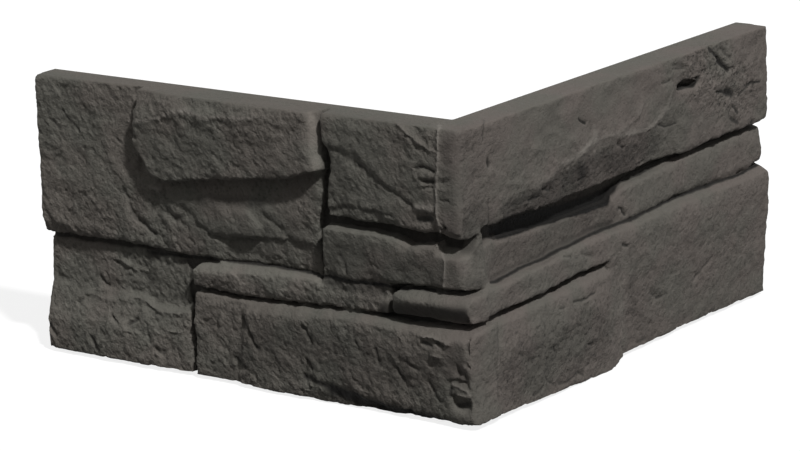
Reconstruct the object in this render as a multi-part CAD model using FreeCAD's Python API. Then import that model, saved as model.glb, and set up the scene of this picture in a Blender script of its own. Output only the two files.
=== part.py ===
import FreeCAD, Part
import math
import os

# A corner panel of cast stone cladding: two legs at a right angle round an outside wall corner.
# Both legs are one casting, a flat backing with the faces of split stones standing out from it.
# Millimetres, +Z up, with the origin at the bottom of the wall-side corner.
# A place on a leg is written as along, out and up: along the leg from the wall-side corner,
# out from the wall, and up from the bottom.

# Wall-side lengths of the two legs
left_leg = 265.0
right_leg = 265.0

# Heights of the four courses of stones, from the bottom up
course_1 = 47.0
course_2 = 18.0
course_3 = 28.5
course_4 = 56.5

# Backing that closes the bottom of every joint
backing = 8.5

# What is left of the backing behind the deepest bed joint
deep_backing = 5.0

# Joints at the backing, and how far a stone's side leans in for each mm that it stands out
bed_joint = 2.0
head_joint = 2.4
draft = 0.06

# Head joints on each leg, measured along it from the wall-side corner
tall_joint = 71.0
middle_joint = 76.0
low_joint = 163.0
thin_joint = 30.0
fold_joint = 106.0

# How far the corner stones return past the left leg's wall side, which is their right face
upper_return = 18.6
middle_return = 18.2
thin_return = 22.4
bottom_return = 23.2

# How far each stone face stands out from the wall, at its fullest
tall_end_face = 17.8
tall_hollow_face = 14.6
tall_chunk_face = 23.6
upper_corner_face = 20.6
upper_corner_split = 19.1
middle_corner_face = 18.8
low_end_face = 19.2
low_end_split = 11.8
thin_left_face = 17.4
thin_middle_face = 17.0
thin_corner_face = 22.2
bottom_left_face = 17.6
bottom_corner_face = 22.0
tall_right_face = 19.8
tall_right_middle = 18.8
tall_right_split = 19.2
middle_right_hollow = 12.2
middle_right_face = 15.4
thin_right_face = 21.0
bottom_right_face = 23.4
low_right_face = 21.0

# Falls of the split faces, in mm back for each mm across
slow_fall = 0.05
soft_fall = 0.15
under_fall = 0.2
even_fall = 0.35
foot_fall = 0.5
steep_fall = 1.1
cliff_fall = 2.1

# Room past the panel's own edges, where a block is built long and trimmed back
spare = 12.0
reach = 600.0

level_1 = course_1
level_2 = level_1 + course_2
level_3 = level_2 + course_3
height = level_3 + course_4

left_end = left_leg + spare
right_end = right_leg + spare
over_top = height + spare
under = -spare
outermost = max(tall_chunk_face, bottom_right_face, bottom_return) + spare


def left(along, out, up):
    """A point of the left leg, which runs along -X and faces -Y."""
    return FreeCAD.Vector(-along, -out, up)


def right(along, out, up):
    """A point of the right leg, which runs along +Y and faces +X."""
    return FreeCAD.Vector(out, along, up)


def above(level, *points):
    """The lower edge of a stone that lies on a level, as (along, rise) pairs."""
    return [(along, level + bed_joint / 2 + rise) for along, rise in points]


def below(level, *points):
    """The upper edge of a stone that ends under a level, as (along, rise) pairs."""
    return [(along, level - bed_joint / 2 + rise) for along, rise in points]


def inset(outline, distance):
    """The same outline with every side moved inwards by the distance."""
    count = len(outline)
    area = 0.0
    for i in range(count):
        (a1, z1), (a2, z2) = outline[i], outline[(i + 1) % count]
        area += a1 * z2 - a2 * z1
    turn = 1.0 if area > 0 else -1.0
    normals = []
    for i in range(count):
        (a1, z1), (a2, z2) = outline[i], outline[(i + 1) % count]
        length = math.hypot(a2 - a1, z2 - z1)
        normals.append((-turn * (z2 - z1) / length, turn * (a2 - a1) / length))
    moved = []
    for i in range(count):
        (m1, n1), (m2, n2) = normals[i - 1], normals[i]
        share = distance / (1.0 + m1 * m2 + n1 * n2)
        moved.append((outline[i][0] + share * (m1 + m2), outline[i][1] + share * (n1 + n2)))
    return moved


def solid_between(near, far):
    """The solid between two rings of points that lie opposite each other."""
    count = len(near)
    faces = [Part.Face(Part.makePolygon(near + near[:1])), Part.Face(Part.makePolygon(far + far[:1]))]
    for i in range(count):
        k = (i + 1) % count
        faces.append(Part.Face(Part.makePolygon([near[i], near[k], far[k], far[i], near[i]])))
    solid = Part.makeSolid(Part.makeShell(faces))
    if solid.Volume < 0:
        solid.reverse()
    return solid


def split(start, end, fall=0.0):
    """A split face through two (along, up, out) points, which falls back on the left of their line."""
    (a1, z1, t1), (a2, z2, t2) = start, end
    length = math.hypot(a2 - a1, z2 - z1)
    da, dz = (a2 - a1) / length, (z2 - z1) / length

    def out_at(along, up):
        run = (along - a1) * da + (up - z1) * dz
        side = (up - z1) * da - (along - a1) * dz
        return t1 + (t2 - t1) * run / length - fall * side

    return out_at


def flat(out, along=0.0, up=0.0, per_along=0.0, per_up=0.0):
    """A split face that stands out by a given amount at one place, with its two slopes."""
    def out_at(a, z):
        return out + per_along * (a - along) + per_up * (z - up)

    return out_at


def in_front(place, outline, out_at):
    """All that stands in front of a split face, over an outline."""
    near = [place(along, out_at(along, up), up) for along, up in outline]
    far = [place(along, out_at(along, up) + reach, up) for along, up in outline]
    return solid_between(near, far)


def stone(place, outline, faces, root=backing / 2):
    """A drafted block on an outline, split back to each of its faces."""
    near = [place(along, root, up) for along, up in inset(outline, draft * (root - backing))]
    far = [place(along, outermost, up) for along, up in inset(outline, draft * (outermost - backing))]
    block = solid_between(near, far)
    window = [(-reach, -reach), (reach, -reach), (reach, reach), (-reach, reach)]
    for out_at in faces:
        block = block.cut(in_front(place, window, out_at))
    return block


def worn_corner(out, back, radius):
    """The worn vertical arris of a corner stone, as two narrow faces that turn into its return."""
    turned = []
    for degrees in (30, 60):
        lean = math.radians(degrees)
        drop = radius * (1 - (1 - math.sin(lean)) / math.cos(lean))
        turned.append(flat(out - drop, along=-back, per_along=math.tan(lean)))
    return turned


def cut_return(block, outline):
    """A corner stone with its return trimmed by an outline on the right leg."""
    return block.cut(in_front(right, outline, flat(0)))


def tall_end_stone():
    """Left leg, upper left: the outer part of the tallest stone."""
    outline = above(level_2, (left_end, -2.6), (252, -3.2), (222, -2.2), (200, -1.8), (178, -3.2))
    outline += [(181, level_2 + 3), (190, level_2 + 6), (198, level_2 + 10), (203, level_2 + 16)]
    outline += [(204, level_3 - 3), (196, level_3 + 16), (190, over_top), (left_end, over_top)]
    full = tall_end_face + 0.3
    return stone(left, outline, [
        flat(tall_end_face, along=left_leg, up=level_3, per_along=0.036, per_up=-0.015),
        flat(tall_end_face - 3.9, along=200, up=120, per_along=0.11, per_up=-0.03),
        split((left_leg, level_2 + 7, full), (200, level_2 + 1, full - 2.4), even_fall),
        split((0, height - 4, full - 3), (left_leg, height - 4, full - 1), even_fall),
    ])


def tall_hollow():
    """Left leg: the hollow under the overhanging part of the tallest stone."""
    edge = middle_joint + head_joint / 2
    outline = above(level_2, (207, -3.4), (165, -4.3), (140, -4.2), (100, -3.2), (edge, -2.6))
    outline += [(edge, level_3 - 3), (tall_joint + 3, level_3 + 11)]
    outline += [(tall_joint + 2, level_3 + 30), (207, level_3 + 30)]
    block = stone(left, outline, [
        flat(tall_hollow_face, along=200, up=level_3, per_along=0.004, per_up=0.03),
        split((200, level_3 - 2, tall_hollow_face), (80, level_3 + 2, tall_hollow_face), -soft_fall),
        split((125, 91, tall_hollow_face), (115, 81, tall_hollow_face), slow_fall * 0.4),
    ])
    ledge = [(145, level_2 - 6), (137, level_2 + 8), (128, level_2 + 11.5), (112, level_2 + 13.5)]
    ledge += [(86, level_2 + 14), (76, level_2 + 12), (70, level_2 - 6)]
    ledge_depth, swell_height, gouge_depth = 3.4, 1.9, 1.4
    block = block.cut(in_front(left, ledge, flat(tall_hollow_face - ledge_depth, up=level_2, per_up=0.06)))
    # The swelling ends in a broken edge towards the corner, and a short gouge lies at its other end.
    swell = [(160, level_2 + 20), (152, level_2 + 12), (143, level_2 + 9.5), (117, level_2 + 12)]
    swell += [(114, level_2 + 19), (122, level_2 + 26), (146, level_2 + 28)]
    lump = stone(left, swell, [
        flat(tall_hollow_face + swell_height, along=118, up=level_2 + 13, per_along=-0.035, per_up=-0.05),
        split((0, level_2 + 12, tall_hollow_face + 1), (-1, level_2 + 12, tall_hollow_face + 1), even_fall),
    ])
    gouge = [(176, level_2 + 24), (168, level_2 + 16), (158, level_2 + 18), (166, level_2 + 23)]
    block = block.cut(in_front(left, gouge, flat(tall_hollow_face - gouge_depth)))
    return block.fuse(lump)


def tall_chunk():
    """Left leg: the part of the tallest stone that stands out furthest, broken off along its lower edge."""
    inner = tall_joint + head_joint / 2
    outline = [(190, over_top), (194, height - 15), (195, height - 29), (190, height - 36)]
    outline += [(184, height - 46), (174, height - 48.5), (149, height - 44.5), (119, height - 40.5)]
    outline += [(94, height - 37.5), (inner - 2, height - 31), (inner - 2, height - 22)]
    outline += [(inner + 1, over_top)]
    ridge = tall_chunk_face
    return stone(left, outline, [
        flat(ridge, up=height - 9, per_up=0.07),
        split((158, height - 6, ridge), (196, height - 17, ridge - 0.4), even_fall),
        split((100, height - 6, ridge), (158, height - 7.5, ridge), even_fall),
        split((104, 0, ridge - 0.4), (100, height, ridge - 0.2), soft_fall * 0.4),
        split((inner + 6, height, ridge - 1.8), (inner + 3.5, height - 31, ridge - 2.4), -steep_fall),
        split((190, 0, ridge - 1.2), (190, 1, ridge - 1.2), -even_fall),
    ])


def upper_corner_stone():
    """Top course of the corner: one stone with two split faces and a lip along its lower edge."""
    edge = tall_joint - head_joint / 2
    side = [(edge + 0.8, over_top), (edge, height - 7), (edge - 1.8, height - 18), (edge - 3.8, height - 24)]
    side += [(edge - 3.6, height - 31), (edge - 2.4, height - 38), (edge - 0.8, height - 46)]
    foot = above(level_3, (edge - 2, 1.2), (20, 1.4), (-4, 0), (-upper_return + 1.6, -1.8))
    head = [(-upper_return, over_top)]
    brow = height - 4
    lower = stone(left, side + foot + head, [
        flat(upper_corner_split, along=40, up=height, per_along=-0.02),
        split((0, brow, upper_corner_split), (1, brow, upper_corner_split), even_fall),
        split((0, level_3 + 4, upper_corner_split), (-1, level_3 + 4, upper_corner_split), even_fall),
        *worn_corner(upper_corner_face - 1.0, upper_return - 0.6, 6.0),
    ], root=-3)
    lip = [(edge + 6, level_3 - 4), (edge + 6, level_3 + 6), (60, level_3 + 8), (50, level_3 + 9)]
    lip += [(40, level_3 + 9.5), (32, level_3 + 7.5), (24, level_3 + 3), (22, level_3 - 4)]
    lower = lower.cut(in_front(left, lip, flat(upper_corner_split - 1.7, along=40)))
    step = [(edge + 0.8, over_top), (edge - 1.4, height - 16), (61, height - 17), (50, height - 19)]
    step += [(45, height - 23), (38, height - 29), (30, height - 32), (20, height - 37), (10, height - 44)]
    step += [(0, height - 49), (-upper_return + 1.3, level_3 + 2), (-upper_return, over_top)]
    proud = stone(left, step, [
        flat(upper_corner_face, along=-20, up=height - 30, per_along=-0.01, per_up=0.01),
        split((0, brow, upper_corner_face - 0.4), (1, brow, upper_corner_face - 0.4), even_fall),
        split((0, level_3 + 4, upper_corner_face), (-1, level_3 + 4, upper_corner_face), even_fall),
        *worn_corner(upper_corner_face, upper_return - 0.4, 6.0),
    ], root=-3)
    under_return = [(-reach, under), (-reach, level_3 - 1), (-17, level_3 - 1), (-9, level_3 + 0.4)]
    under_return += [(-3, level_3 + 2.6), (6, level_3 + 4.6), (6, under)]
    return cut_return(lower.fuse(proud), under_return)


def middle_corner_stone():
    """Third course of the corner: a low stone with a worn upper edge that dips near the corner."""
    edge = middle_joint - head_joint / 2
    outline = below(level_3, (edge - 2.4, -1.5), (52, -1.5), (30, -2), (24, -3), (18, -6), (12, -4.6))
    outline += below(level_3, (2, -3.6), (-3, 3), (-middle_return, 3))
    outline += above(level_2, (-middle_return, 1), (-5, 0.6), (25, 0), (45, -1.4), (60, -1.9), (edge, 0.4))
    block = stone(left, outline, [
        flat(middle_corner_face, along=20, up=level_2 + 14, per_along=-0.01, per_up=0.07),
        split((0, level_3 - 8, middle_corner_face), (1, level_3 - 7.8, middle_corner_face), even_fall),
        split((0, level_2 + 5, middle_corner_face), (-1, level_2 + 5, middle_corner_face), even_fall),
        *worn_corner(middle_corner_face, middle_return - 0.6, 5.0),
    ], root=2)
    over_return = [(-reach, over_top), (-reach, level_3 - 10), (-17, level_3 - 9.5), (-12, level_3 - 7.5)]
    over_return += [(-8, level_3 - 5), (-5.4, level_3 + 1), (-4, level_3 + 2), (-1, level_3 - 1)]
    over_return += [(2, level_3 - 3), (2, over_top)]
    return cut_return(block, over_return)


def low_end_stone():
    """Left leg, lower left: a thin upper part over a foot that swells out."""
    edge = low_joint + head_joint / 2
    outline = below(level_2, (left_end, -4), (230, -4.5), (200, -3.5), (edge + 6, -4.5))
    outline += [(edge + 4, level_1 + 5), (edge + 6, level_1 - 5), (edge + 1, level_1 - 15)]
    outline += [(edge, under), (left_end, under)]
    back = stone(left, outline, [
        flat(low_end_split, along=left_leg, up=level_1, per_along=0.016, per_up=-slow_fall),
    ])
    foot = [(left_end, under), (left_end, level_1 - 12), (227, level_1 - 11.5), (197, level_1 - 12)]
    foot += [(191, level_1 - 15.5), (175, level_1 - 16.5), (edge + 2, level_1 - 14)]
    foot += [(edge + 0.5, level_1 - 19), (edge, under)]
    shoulder = low_end_face - 1.2
    swell = stone(left, foot, [
        flat(low_end_face, up=12, per_up=-slow_fall),
        split((0, 20, shoulder), (1, 20, shoulder), even_fall),
        split((0, 5, low_end_face), (-1, 5, low_end_face), soft_fall),
        split((205, 0, low_end_face), (228, level_1, low_end_face - 1.0), soft_fall * 0.5),
        split((edge + 5, under, low_end_face - 0.4), (edge + 7, level_1, low_end_face - 0.4), even_fall),
    ])
    return back.fuse(swell)


def thin_left_stone():
    """Left leg, second course: a thin stone that drops back under the corner stone."""
    outer = low_joint - head_joint / 2
    inner = thin_joint + head_joint / 2
    outline = above(level_1, (outer, -1.6), (142, -2.8), (117, -2.8), (102, -1.8), (72, -0.4))
    outline += below(level_2, (72, -6), (78, -2.2), (100, -1.6), (120, -2), (142, -3.2), (outer - 3, -5.6))
    outline += below(level_2, (outer, -8))
    crest = thin_left_face
    front = stone(left, outline, [
        flat(crest, along=110, up=level_1, per_along=0.004),
        split((157, level_2 - 9, crest), (80, level_2 - 4.6, crest), -steep_fall),
        split((0, level_1 + 3, crest - 0.4), (-1, level_1 + 3, crest - 0.4), soft_fall),
    ])
    rest = above(level_1, (80, -0.6), (62, 0), (inner, 1)) + below(level_2, (inner, -6.4), (36, -4.6))
    rest += below(level_2, (46, -6.6), (60, -7), (80, -6.2))
    middle = stone(left, rest, [
        flat(thin_middle_face, up=level_1),
        split((0, level_2 - 9, thin_middle_face), (1, level_2 - 9, thin_middle_face), even_fall),
    ])
    fill = above(level_1, (75, 1), (inner, 2)) + below(level_2, (inner, 2.6), (75, 2.6))
    shelf = stone(left, fill, [flat(thin_middle_face - 0.9, up=level_1 + 10, per_up=-slow_fall)])
    return front.fuse([middle, shelf])


def thin_corner_stone():
    """Second course of the corner: a thin stone with a sloped top and an undercut front."""
    edge = thin_joint - head_joint / 2
    nose = level_2 - 5
    outline = above(level_1, (edge, 2.6), (-thin_return, 2.4))
    outline += below(level_2, (-thin_return, 1.0), (8, 1.0), (24, 0), (edge, -2))
    return stone(left, outline, [
        flat(thin_corner_face),
        split((0, nose, thin_corner_face), (1, nose, thin_corner_face), steep_fall),
        split((0, nose - 0.6, thin_corner_face), (-1, nose - 0.6, thin_corner_face), 0.5),
        split((22, 0, thin_corner_face), (22, 1, thin_corner_face), -even_fall),
        *worn_corner(thin_corner_face, thin_return - 0.4, 4.0),
    ], root=5.4)


def bottom_corner_stone():
    """Bottom course of the corner: the longest stone, broken back at its left end."""
    outer = low_joint - head_joint / 2
    outline = [(outer, under)] + below(level_1, (outer, -1.6), (147, -2.6), (136, -2.6), (120, -2.2))
    outline += [(118, under)]
    broken = stone(left, outline, [
        flat(bottom_left_face, up=20, per_up=-0.01),
        split((0, level_1 - 9, bottom_left_face), (1, level_1 - 9, bottom_left_face), even_fall),
    ])
    body = [(130.5, under), (131.6, 3), (130.4, 11), (127.4, 16), (128.4, 25), (125.4, 30)]
    body += [(126, level_1 - 8)]
    body += below(level_1, (124, -2.8), (115, -2.2), (100, -1.2), (80, 0), (62, 1), (32, 1), (20, 0.2))
    body += below(level_1, (0, 1), (-17, 2.2), (-bottom_return, 1.4))
    body += [(-bottom_return, under)]
    crest = bottom_corner_face
    front = stone(left, body, [
        flat(crest, along=-20, up=24, per_along=-0.008, per_up=0.04),
        split((60, level_1 - 3.2, crest - 0.6), (127, level_1 - 9.6, crest - 1.2), steep_fall * 0.8),
        split((-20, level_1 - 3.6, crest), (60, level_1 - 3.2, crest - 0.6), steep_fall),
        split((112, under, crest - 1.0), (116, level_1, crest - 1.0), -soft_fall * 0.7),
        *worn_corner(crest, bottom_return - 0.4, 4.5),
    ], root=0)
    foot = [(64, under), (64, 8.5), (50, 8), (36, 8.4), (20, 6.6), (0, 5.8), (-16, 4.4)]
    foot += [(-reach, 4), (-reach, under)]
    front = front.cut(in_front(left, foot, split((70, 8.5, crest - 0.7), (-16, 4.6, crest), foot_fall)))
    ease = [(64, under), (64, 8.5), (106, 0), (106, under)]
    front = front.cut(in_front(left, ease, split((106, 0, crest - 1), (64, 8.5, crest - 0.7), foot_fall)))
    ledge = [(-6, 22), (-12, 22.6), (-20, 23), (-21, 17), (-18, 14.6), (-13, 15.6), (-7, 13.8)]
    front = front.cut(in_front(left, ledge, flat(crest - 2.6, up=22, per_up=-even_fall)))
    pit = [(-8, 14.5), (-13, 14.2), (-19, 12.6), (-21, 9), (-18, 5.6), (-12, 6.2), (-9, 9)]
    front = front.cut(in_front(left, pit, flat(crest - 3.4, up=10)))
    crack = [(-11.6, 31), (-15.4, 30.6), (-14, 26), (-14.6, 20), (-11.4, 20), (-12.4, 26)]
    front = front.cut(in_front(left, crack, flat(crest - 1.5)))
    return broken.fuse(front)


def tall_right_stone():
    """Right leg, upper course: one long stone, split in three lapping faces."""
    foot = above(level_3, (1.8, 3), (6, 1), (60, -1), (110, -2), (150, 0.5), (190, 0), (210, 2))
    foot += above(level_3, (right_end, 2.2))
    outline = foot + [(right_end, over_top), (-0.8, over_top), (-0.6, 132), (1.8, 112)]
    crest = tall_right_split
    near = stone(right, outline, [
        flat(crest, along=90, per_along=0.004),
        split((85, level_3 + 25, crest), (35, level_3 + 10, crest), under_fall),
        split((60, level_3 + 10, crest - 1.0), (-2, level_3 + 10, crest - 1.0), under_fall),
    ])
    far = [(78, under), (right_end, under), (right_end, over_top), (78, over_top)]
    back = stone(right, outline, [
        flat(crest, along=90, per_along=0.004),
        split((180, level_3 + 28, crest), (70, level_3 + 21, crest), under_fall),
    ]).common(stone(right, far, []))
    top_line = height - 9
    lap = [(78, 112), (85, 118), (115, 116.5), (150, 118), (165, 125), (174, 134), (174, 142), (78, 142)]
    middle = stone(right, lap, [flat(tall_right_middle, up=120, per_up=0.02)])
    shoulder = [(-0.8, level_3 + 9), (35, level_3 + 10), (50, level_3 + 14.5), (70, level_3 + 19)]
    shoulder += [(85, height - 30), (100, height - 23), (130, height - 20), (172, height - 16)]
    shoulder += [(right_end, height - 16), (right_end, over_top), (-0.8, over_top)]
    crest = tall_right_face
    front = stone(right, shoulder, [
        flat(crest, along=right_leg, up=height - 20, per_along=0.004, per_up=0.01),
        split((0, top_line, crest - 1), (right_leg, top_line, crest), soft_fall),
    ]).common(stone(right, outline, []))
    tail = foot[-2:] + [(right_end, height - 12), (173, height - 12), (171, height - 30), (176, level_3 - 4)]
    end = stone(right, tail, [
        flat(crest, along=right_leg, up=height - 20, per_along=0.004, per_up=0.01),
        split((right_leg, level_3 + 6, crest - 0.4), (180, level_3 + 6, crest - 0.4), even_fall),
        split((180, level_3, crest - 0.8), (179, height, crest - 0.4), even_fall),
    ]).common(stone(right, outline, []))
    whole = near.fuse([back, middle, front, end])
    slit = [(171, height - 15), (197, height - 16.5), (193, height - 20.5), (178, height - 19)]
    return whole.cut(in_front(right, slit, flat(tall_right_face - 5)))


def middle_right_stone():
    """Right leg, third course: runs on from the corner stone, set back at first and then fuller."""
    hollow = above(level_2, (-2, 1.2), (50, 1.6), (70, 4.2), (100, 4.6), (124, 4))
    hollow += below(level_3, (124, -8), (118, -9.6), (85, -9.4), (52, -9.6), (40, -8), (-2, -6))
    set_back = stone(right, hollow, [flat(middle_right_hollow, up=level_2, per_up=-0.01)])
    outline = above(level_2, (121, 4), (130, 3.8), (145, 4.2), (175, 6.6), (230, 5), (right_end, 7.6))
    outline += below(level_3, (right_end, 1.2), (240, 0.6), (190, -0.2), (150, -2.6))
    outline += below(level_3, (130, -3.6), (121, -7.6))
    crest = middle_right_face
    full = stone(right, outline, [
        flat(crest),
        split((130, level_3 - 7, crest), (right_leg, level_3 - 4, crest), even_fall),
        split((right_leg, level_2 + 11, crest), (130, level_2 + 8, crest), even_fall),
        split((124, under, crest - 1.4), (128, over_top, crest - 1.4), even_fall),
    ])
    rise = above(level_2, (-4, 1.2), (16, 1.3)) + below(level_3, (16, -6.2), (-4, -5))
    ease = stone(right, rise, [flat(middle_return - 0.6, along=-2, per_along=-even_fall)])
    return set_back.fuse([full, ease])


def thin_right_stone():
    """Right leg, second course: a thin stone whose sloped top runs up under the course above."""
    outline = above(level_1, (-5.2, 3.4), (50, 4), (80, 6), (fold_joint + 6, 6))
    outline += below(level_2, (fold_joint + 6, 6), (100, 6.4), (72, 6), (50, 3.4), (-5.2, 2.8))
    crest = thin_right_face
    return stone(right, outline, [
        flat(crest, along=50, per_along=-0.012),
        split((0, level_2 - 0.2, crest), (fold_joint, level_2 + 2.6, crest), steep_fall),
        split((fold_joint, level_1 + 7, crest - 0.3), (0, level_1 + 5.4, crest + 0.2), soft_fall),
    ])


def bottom_right_stone():
    """Right leg, bottom course: stands out furthest and folds back to the end stone."""
    fold = fold_joint
    outline = below(level_1, (fold + 12, 6), (fold - 6, 6.2), (80, 5.4), (50, 4), (-2, 3.4))
    outline += [(-2, under), (fold + 13, under)]
    crest = bottom_right_face
    return stone(right, outline, [
        flat(crest, along=50, up=30, per_along=-0.004, per_up=0.03),
        split((0, level_1 - 4, crest), (fold, level_1 - 1.4, crest), steep_fall),
        split((fold, level_1 - 12, crest - 0.8), (0, level_1 - 14, crest - 0.6), -soft_fall),
        split((fold - 7, under, crest - 0.2), (fold - 13, level_1, crest - 0.2), -under_fall),
        split((fold, 6, crest), (0, 4, crest), soft_fall),
    ])


def low_right_stone():
    """Right leg, outer end: a stone two courses tall whose face leans out towards its top."""
    outline = [(fold_joint - 2, under), (fold_joint - 2, level_1 + 8)]
    outline += below(level_2, (fold_joint, 5.8), (140, 5.6), (175, 7.8), (230, 6.4), (right_end, 7.8))
    outline += [(right_end, under)]
    crest = low_right_face
    lean = 0.083
    brow = level_2 + 2.4
    return stone(right, outline, [
        flat(crest, up=brow, per_up=lean),
        split((0, brow, crest), (1, brow, crest), cliff_fall),
        split((0, brow - 5, crest - 0.5), (1, brow - 5, crest - 0.5), soft_fall),
    ])


def upright(points, bottom, top):
    """A prism that stands on a ground plan."""
    ring = [FreeCAD.Vector(x, y, bottom) for x, y in points]
    return Part.Face(Part.makePolygon(ring + ring[:1])).extrude(FreeCAD.Vector(0, 0, top - bottom))


def angle_plan(thickness):
    """Ground plan of both legs at one thickness."""
    return [
        (-left_leg, 0),
        (0, 0),
        (0, right_leg),
        (thickness, right_leg),
        (thickness, -thickness),
        (-left_leg, -thickness),
    ]


def deep_joint():
    """The deepest part of the bed joint under the tall right stone."""
    outline = [(16, 87), (40, 85), (52, 83.3), (118, 83.3), (125, 87), (135, 90.6), (150, 92), (180, 93.6)]
    outline += [(180, 96), (150, 96.4), (108, 94.6), (60, 95.4), (16, 96)]
    return in_front(right, outline, flat(deep_backing))


def corner_panel():
    """The whole casting, trimmed flat at both ends, the top and the bottom."""
    stones = [
        tall_end_stone(),
        tall_hollow(),
        tall_chunk(),
        upper_corner_stone(),
        middle_corner_stone(),
        low_end_stone(),
        thin_left_stone(),
        thin_corner_stone(),
        bottom_corner_stone(),
        tall_right_stone(),
        middle_right_stone(),
        thin_right_stone(),
        bottom_right_stone(),
        low_right_stone(),
    ]
    panel = upright(angle_plan(backing), 0, height).multiFuse(stones)
    panel = panel.cut(deep_joint())
    panel = panel.common(upright(angle_plan(outermost), 0, height))
    return panel.removeSplitter()


os.makedirs("parts", exist_ok=True)
panel = corner_panel()
box = panel.BoundBox
print("solids", len(panel.Solids), "faces", len(panel.Faces), "valid", panel.isValid())
print("volume in litres", round(panel.Volume / 1e6, 3))
print("size", round(box.XLength, 1), round(box.YLength, 1), round(box.ZLength, 1))
panel.exportStep("parts/corner_panel.step")
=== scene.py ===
# %% [markdown]
# A corner panel of cast stone cladding
#
# The real piece is poured in one go into a rubber mould that was taken from split stones. It has two legs at
# a right angle, a flat back for the wall, and a face of stones whose every pit and crack came from the mould.
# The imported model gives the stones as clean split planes. Here that form gets what the mould would add:
# wandering arrises, a broken grain, cracks, chips and the thin seam of the mould. The clean form could be
# sculpted by hand, but a rule with named sizes can be read, tuned and run again with the same result.

# %% The fixed frame
import math

import bmesh
import bpy
import numpy as np
from mathutils import Matrix, Vector


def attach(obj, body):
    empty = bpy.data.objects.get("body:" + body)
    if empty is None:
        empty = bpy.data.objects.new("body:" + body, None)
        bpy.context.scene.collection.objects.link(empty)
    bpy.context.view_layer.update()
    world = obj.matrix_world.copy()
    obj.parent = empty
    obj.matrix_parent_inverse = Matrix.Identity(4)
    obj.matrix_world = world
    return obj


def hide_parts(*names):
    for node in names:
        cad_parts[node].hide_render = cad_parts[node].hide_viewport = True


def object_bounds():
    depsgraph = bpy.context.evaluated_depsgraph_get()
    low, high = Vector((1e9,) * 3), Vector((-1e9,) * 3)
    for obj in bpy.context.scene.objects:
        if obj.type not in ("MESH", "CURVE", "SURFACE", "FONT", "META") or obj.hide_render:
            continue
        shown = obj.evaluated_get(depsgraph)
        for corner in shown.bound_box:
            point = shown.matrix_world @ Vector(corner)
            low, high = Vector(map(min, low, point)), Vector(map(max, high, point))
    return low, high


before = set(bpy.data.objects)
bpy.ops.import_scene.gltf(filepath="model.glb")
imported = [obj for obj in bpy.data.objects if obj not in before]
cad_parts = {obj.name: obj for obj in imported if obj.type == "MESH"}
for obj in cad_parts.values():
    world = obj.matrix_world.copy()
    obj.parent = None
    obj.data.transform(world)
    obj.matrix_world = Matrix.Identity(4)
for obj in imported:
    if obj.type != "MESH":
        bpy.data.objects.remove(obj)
cad_low, cad_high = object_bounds()
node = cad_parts["corner_panel"]
print("CAD box in mm", [round(1000 * v, 1) for v in (*cad_low, *cad_high)])

# %% [markdown]
# The camera
#
# A product photo like this is taken from a few panel lengths away with a long lens, so the verticals hardly
# lean. The camera's place can be tried by eye, or worked out from straight edges that show in the picture.
# It was worked out here from the back edges of the top, the two ends and the corner, so the numbers are a
# place, two turns and a slight tilt of the horizon.

# %% Camera
CAMERA_PLACE = Vector((1.0586, -1.4254, 0.5591))
CAMERA_TURN = math.radians(37.51)
CAMERA_DOWN = math.radians(14.59)
CAMERA_TILT = math.radians(-2.36)
CAMERA_LENS_MM = 165.46
CAMERA_SENSOR_MM = 36.0
CAMERA_NEAR = 0.1
CAMERA_FAR = 30.0
# An unturned camera looks straight down, and this much brings it level
LEVEL = math.radians(90)

camera = bpy.data.objects.new("camera", bpy.data.cameras.new("camera"))
camera.data.sensor_width = CAMERA_SENSOR_MM
camera.data.lens = CAMERA_LENS_MM
camera.data.clip_start = CAMERA_NEAR
camera.data.clip_end = CAMERA_FAR
aim = (
    Matrix.Rotation(CAMERA_TURN, 4, "Z")
    @ Matrix.Rotation(LEVEL - CAMERA_DOWN, 4, "X")
    @ Matrix.Rotation(CAMERA_TILT, 4, "Z")
)
camera.matrix_world = Matrix.Translation(CAMERA_PLACE) @ aim
bpy.context.collection.objects.link(camera)
bpy.context.scene.camera = camera
print("camera at", tuple(round(v, 3) for v in camera.location))

# %% [markdown]
# The main sizes
#
# Each stone is thought of by how far along its leg it is from the corner, how far out from the wall, and how
# far up. The left leg runs along -X and faces -Y, and the right one runs along +Y and faces +X.
# Sizes are in metres, and mm is only a short way to write them.

# %% Sizes taken from the frame
mm = 0.001
LEFT_END = cad_low.x
RIGHT_END = cad_high.y
TOP = cad_high.z
# How far the backing between the stones stands out from the wall side
BACKING = 8.5 * mm
SEED = 7
print("legs", round(-LEFT_END / mm, 1), round(RIGHT_END / mm, 1), "height", round(TOP / mm, 1))

# %% [markdown]
# A dense skin over the clean form
#
# Relief needs vertices about as close as the smallest bump, which is near a millimetre. The clean form has
# some 1500 flat facets, so its copy is first merged into a closed mesh and then wrapped in even squares
# by a voxel remesh. Subdivision would be another way, but it keeps the long thin facets and wastes its
# points on them, while the remesh also welds the stones to the backing as one poured body.

# %% Voxel skin
VOXEL = 0.75 * mm
MERGE_GAP = 0.01 * mm


def shown_copy(source, name):
    """A plain mesh object of what a source object looks like with its modifiers."""
    graph = bpy.context.evaluated_depsgraph_get()
    mesh = bpy.data.meshes.new_from_object(source.evaluated_get(graph))
    copy = bpy.data.objects.new(name, mesh)
    bpy.context.collection.objects.link(copy)
    return copy


def drop(obj):
    """Removes a helper object and its mesh."""
    mesh = obj.data
    bpy.data.objects.remove(obj)
    bpy.data.meshes.remove(mesh)


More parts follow.
